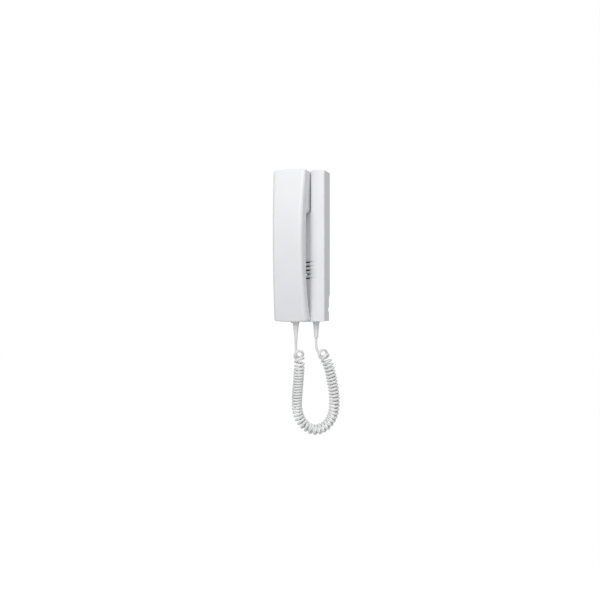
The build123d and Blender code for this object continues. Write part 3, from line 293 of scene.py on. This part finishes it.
coreIron = dict(
    zincPlate,
    colour=(0.2, 0.2, 0.215),
    smooth=0.45,
    rough=0.65,
    streakStretch=(1, 1, 9),
)
tinnedTag = dict(zincPlate, colour=(0.74, 0.72, 0.68), smooth=0.22, rough=0.38)
canShell = dict(
    zincPlate,
    colour=(0.68, 0.69, 0.71),
    smooth=0.2,
    rough=0.35,
    streakStretch=(1, 1, 7),
)

plastics = {
    "mouldedWhite": baseWhite,
    "handsetWhite": handsetWhite,
    "keyGrey": keyGrey,
    "sleeveSoft": sleeveSoft,
    "cordSoft": cordSoft,
    "blackNylon": blackNylon,
    "greenNylon": greenNylon,
    "rubberBoot": rubberBoot,
    "foamRing": foamRing,
    "coneCard": coneCard,
    "resistorEnamel": resistorEnamel,
    "boardMask": boardMask,
}
metals = {
    "zincPlate": zincPlate,
    "springWire": springWire,
    "coreIron": coreIron,
    "tinnedTag": tinnedTag,
    "canShell": canShell,
}
finishes = {}
for finishName, finishLook in plastics.items():
    finishes[finishName] = mouldedPlastic(finishName, finishLook)
for finishName, finishLook in metals.items():
    finishes[finishName] = plainMetal(finishName, finishLook)

nodeFinish = {
    "base_cover": "mouldedWhite",
    "wall_plate": "mouldedWhite",
    "hook_plunger": "mouldedWhite",
    "door_button": "keyGrey",
    "button_stem": "keyGrey",
    "handset_front_shell": "handsetWhite",
    "handset_rear_shell": "handsetWhite",
    "handset_strain_relief": "sleeveSoft",
    "base_strain_relief": "sleeveSoft",
    "circuit_board": "boardMask",
    "hook_board": "boardMask",
    "handset_board": "boardMask",
    "board_chips": "blackNylon",
    "sounder_holder": "keyGrey",
    "call_sounder": "keyGrey",
    "button_switch": "blackNylon",
    "hook_switch": "blackNylon",
    "transformer_bobbin": "blackNylon",
    "receiver_frame": "blackNylon",
    "terminal_block": "greenNylon",
    "resistors": "resistorEnamel",
    "microphone_boot": "rubberBoot",
    "earpiece_gasket": "foamRing",
    "receiver_cone": "coneCard",
    "capacitors": "canShell",
    "microphone_capsule": "canShell",
    "cord_crimps": "tinnedTag",
    "hook_spring": "springWire",
    "transformer_core": "coreIron",
}


def dressNodes():
    for name, piece in nodes.items():
        finish = finishes[nodeFinish.get(name, "zincPlate")]
        piece.data.materials.clear()
        piece.data.materials.append(finish)


# The curly cord, one tube from the handset's sleeve to the base's sleeve

curlyCord = {
    "diameter": 3.6,
    "turnRadius": 6.0,
    "wholeTurns": 50,
    "pointsPerTurn": 16,
    "handsetTip": (-6.3, 28.0, -140.1),
    "baseTip": (19.6, 13.0, -132.8),
    "baseCorner": (19.6, 13.0, -148.2),
    "length": 1.955,
    "routeSteps": 40,
    "lineSteps": 3,
    "sectionSteps": 4,
    "smoothAngle": 60,
    "handsetBendShare": 0.6,
    "baseBendShare": 0.45,
    # the stretch along which the cord passes from the base's motion to the handset's
    "blendStart": (30, 17.5, -187.5),
    "blendEnd": (5.8, 30.5, -191),
    # the middle line of the winding: x, depth, z in millimetres
    "route": [
        (-0.3, 28, -155),
        (-0.3, 33.5, -155),
        (3.0, 40, -161),
        (3.8, 40.5, -171),
        (1.8, 39, -190),
        (-0.6, 37.3, -210),
        (-2.6, 35.5, -231),
        (0.5, 34, -246.5),
        (8.5, 32.4, -258.5),
        (23.5, 30.4, -265.5),
        (39.5, 28.7, -258.5),
        (49.2, 27.5, -244.5),
        (52.2, 26.8, -226),
        (50.6, 26.2, -207),
        (47, 25.8, -188),
        (42.6, 25.6, -171),
        (37.2, 24.6, -160.4),
        (30.1, 18.6, -154.4),
        (30.1, 13, -154.4),
    ],
    # pitch along the winding: wide in the end rings, tight under the handset, open below
    "pitches": [
        (0, 2.1), (0.06, 2.1), (0.09, 1.2), (0.13, 0.88), (0.2, 0.86), (0.28, 0.9), (0.36, 1.08),
        (0.43, 1.28), (0.57, 1.28), (0.65, 1.08), (0.85, 1.02), (0.91, 1.2), (0.94, 2.0), (1, 2.1),
    ],
    "startSide": (-1, 0, 0),
    "endAngle": 30.0,  # the last turn leaves up and to the left at this angle
}


def nurbsCurve(name, points, resolution):
    data = bpy.data.curves.new(name, "CURVE")
    data.dimensions = "3D"
    spline = data.splines.new("NURBS")
    spline.points.add(len(points) - 1)
    for number, point in enumerate(points):
        spline.points[number].co = (*point, 1)
    spline.order_u = 3
    spline.use_endpoint_u = True
    spline.resolution_u = resolution
    curve = bpy.data.objects.new(name, data)
    bpy.context.scene.collection.objects.link(curve)
    return curve


def pointsOnCurve(curve):
    bpy.context.view_layer.update()
    seen = curve.evaluated_get(bpy.context.evaluated_depsgraph_get())
    mesh = bpy.data.meshes.new_from_object(seen)
    found = [vertex.co.copy() for vertex in mesh.vertices]
    bpy.data.meshes.remove(mesh)
    return found


def pitchAt(pairs, place):
    for (low, lowValue), (high, highValue) in zip(pairs, pairs[1:]):
        if place <= high:
            return lowValue + (highValue - lowValue) * (place - low) / (high - low)
    return pairs[-1][1]


def windRound(line, cord):
    # points of a right-handed winding round the line
    run = [0]
    for begin, close in zip(line, line[1:]):
        run.append(run[-1] + (close - begin).length)
    along = []
    for number in range(len(line)):
        before = line[max(number - 1, 0)]
        after = line[min(number + 1, len(line) - 1)]
        along.append((after - before).normalized())
    side = [Vector(cord["startSide"])]
    for way in along[1:]:
        side.append((side[-1] - way * side[-1].dot(way)).normalized())
    angles = [0]
    for number in range(1, len(line)):
        middle = (run[number - 1] + run[number]) / 2 / run[-1]
        step = run[number] - run[number - 1]
        angles.append(angles[-1] + step / pitchAt(cord["pitches"], middle))
    leave = math.radians(cord["endAngle"])
    endSide = Vector((-math.cos(leave), 0, -math.sin(leave)))
    across = along[-1].cross(side[-1])
    extra = math.atan2(endSide.dot(across), endSide.dot(side[-1])) % (2 * math.pi)
    total = 2 * math.pi * cord["wholeTurns"] + extra
    angles = [angle * total / angles[-1] for angle in angles]
    count = round(total / (2 * math.pi) * cord["pointsPerTurn"])
    half = math.pi / cord["pointsPerTurn"]
    # the spline cuts inside its points, so they lie further out
    radius = cord["turnRadius"] * mm * 2 / (1 + math.cos(half))
    found = []
    number = 0
    for step in range(count + 1):
        angle = total * step / count
        while number < len(angles) - 2 and angles[number + 1] < angle:
            number += 1
        share = (angle - angles[number]) / (angles[number + 1] - angles[number])
        centre = line[number].lerp(line[number + 1], share)
        way = along[number].lerp(along[number + 1], share).normalized()
        out = side[number].lerp(side[number + 1], share)
        out = (out - way * out.dot(way)).normalized()
        found.append(centre + (out * math.cos(angle) + way.cross(out) * math.sin(angle)) * radius)
    return found


def makeCord(cord):
    route = nurbsCurve("cordRoute", [atDepth(*point) for point in cord["route"]], cord["routeSteps"])
    line = pointsOnCurve(route)
    bpy.data.objects.remove(route)
    turns = windRound(line, cord)
    handsetTip = atDepth(*cord["handsetTip"])
    baseTip = atDepth(*cord["baseTip"])
    corner = atDepth(*cord["baseCorner"])
    points = [handsetTip, handsetTip.lerp(turns[0], cord["handsetBendShare"])]
    points += turns
    points += [corner, corner.lerp(baseTip, cord["baseBendShare"]), baseTip]
    centre = nurbsCurve("cordLine", points, cord["lineSteps"])
    path = pointsOnCurve(centre)
    centre.data.bevel_depth = cord["diameter"] / 2 * mm
    centre.data.bevel_resolution = cord["sectionSteps"]
    centre.data.use_fill_caps = True
    bpy.context.view_layer.update()
    seen = centre.evaluated_get(bpy.context.evaluated_depsgraph_get())
    mesh = bpy.data.meshes.new_from_object(seen)
    mesh.name = "curlyCord"
    tube = bpy.data.objects.new("curlyCord", mesh)
    bpy.context.scene.collection.objects.link(tube)
    bpy.data.objects.remove(centre)
    smoothByAngle(tube, cord["smoothAngle"])
    tube.data.materials.clear()
    tube.data.materials.append(finishes["cordSoft"])
    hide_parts("curly_cord", "handset_cord_tail", "base_cord_tail")
    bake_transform(tube)
    length = sum((close - begin).length for begin, close in zip(path, path[1:]))
    print("cord made, metres along it:", round(length, 3), "faces", len(mesh.polygons))


makeCord(curlyCord)
dressNodes()
print("frame dressed")


# Stage: a pale floor below, white all round, plain soft light

stageSetup = {
    "floorZ": -0.62,
    "floorSize": 9.0,
    "floorCells": 8,
    "floorColour": (0.86, 0.86, 0.87, 1),
    "floorRough": 0.8,
    "floorGlow": 1.12,
    "floorGlowShare": 0.85,  # the rest keeps the object's shadow
    "roomColour": (0.985, 0.99, 1.0, 1),
    "roomStrength": 0.37,
    "mirrorShare": 0.6,
    "keyPlace": (0.2, -1.25, 0.96),
    "keySize": 1.2,
    "keyWatts": 16.8,
    "fillPlace": (1.9, -0.7, 0.3),
    "fillSize": 1.2,
    "fillWatts": 0.8,
}


def makeFloor(setup):
    deselectAll()
    bpy.ops.mesh.primitive_grid_add(
        x_subdivisions=setup["floorCells"],
        y_subdivisions=setup["floorCells"],
        size=setup["floorSize"],
        location=(0, 0, setup["floorZ"]),
    )
    floor = bpy.context.active_object
    floor.name = "paleFloor"
    material, tree, shader = newMaterial("paleFloor")
    shader.inputs["Base Color"].default_value = setup["floorColour"]
    shader.inputs["Roughness"].default_value = setup["floorRough"]
    path = tree.nodes.new("ShaderNodeLightPath")
    glow = tree.nodes.new("ShaderNodeEmission")
    mix = tree.nodes.new("ShaderNodeMixShader")
    share = tree.nodes.new("ShaderNodeMath")
    share.operation = "MULTIPLY"
    share.inputs[1].default_value = setup["floorGlowShare"]
    tree.links.new(path.outputs["Is Camera Ray"], share.inputs[0])
    tree.links.new(share.outputs["Value"], mix.inputs["Fac"])
    tree.links.new(shader.outputs["BSDF"], mix.inputs[1])
    tree.links.new(glow.outputs["Emission"], mix.inputs[2])
    output = tree.nodes["Material Output"]
    tree.links.new(mix.outputs["Shader"], output.inputs["Surface"])
    glow.inputs["Strength"].default_value = setup["floorGlow"]
    floor.data.materials.append(material)


def makeRoom(setup):
    world = bpy.data.worlds.new("whiteRoom")
    bpy.context.scene.world = world
    world.use_nodes = True
    tree = world.node_tree
    plain = tree.nodes["Background"]
    plain.inputs["Color"].default_value = setup["roomColour"]
    plain.inputs["Strength"].default_value = setup["roomStrength"]
    white = tree.nodes.new("ShaderNodeBackground")
    white.inputs["Strength"].default_value = 1
    white.inputs["Color"].default_value = (1, 1, 1, 1)
    path = tree.nodes.new("ShaderNodeLightPath")
    either = tree.nodes.new("ShaderNodeMath")
    either.operation = "MAXIMUM"
    mirror = tree.nodes.new("ShaderNodeMath")
    mirror.operation = "MULTIPLY"
    mirror.inputs[1].default_value = setup["mirrorShare"]
    mix = tree.nodes.new("ShaderNodeMixShader")
    tree.links.new(path.outputs["Is Glossy Ray"], mirror.inputs[0])
    tree.links.new(path.outputs["Is Camera Ray"], either.inputs[0])
    tree.links.new(mirror.outputs["Value"], either.inputs[1])
    tree.links.new(either.outputs["Value"], mix.inputs["Fac"])
    tree.links.new(plain.outputs["Background"], mix.inputs[1])
    tree.links.new(white.outputs["Background"], mix.inputs[2])
    tree.links.new(mix.outputs["Shader"], tree.nodes["World Output"].inputs["Surface"])


def makeLamp(name, place, size, watts):
    data = bpy.data.lights.new(name, "AREA")
    data.shape = "DISK"
    data.size = size
    data.energy = watts
    lamp = bpy.data.objects.new(name, data)
    bpy.context.scene.collection.objects.link(lamp)
    lamp.location = place
    lamp.rotation_euler = (-Vector(place)).to_track_quat("-Z", "Y").to_euler()


makeFloor(stageSetup)
makeRoom(stageSetup)
makeLamp("keyLamp", stageSetup["keyPlace"], stageSetup["keySize"], stageSetup["keyWatts"])
makeLamp("fillLamp", stageSetup["fillPlace"], stageSetup["fillSize"], stageSetup["fillWatts"])
bpy.context.scene.view_settings.view_transform = "Standard"
print("stage set")
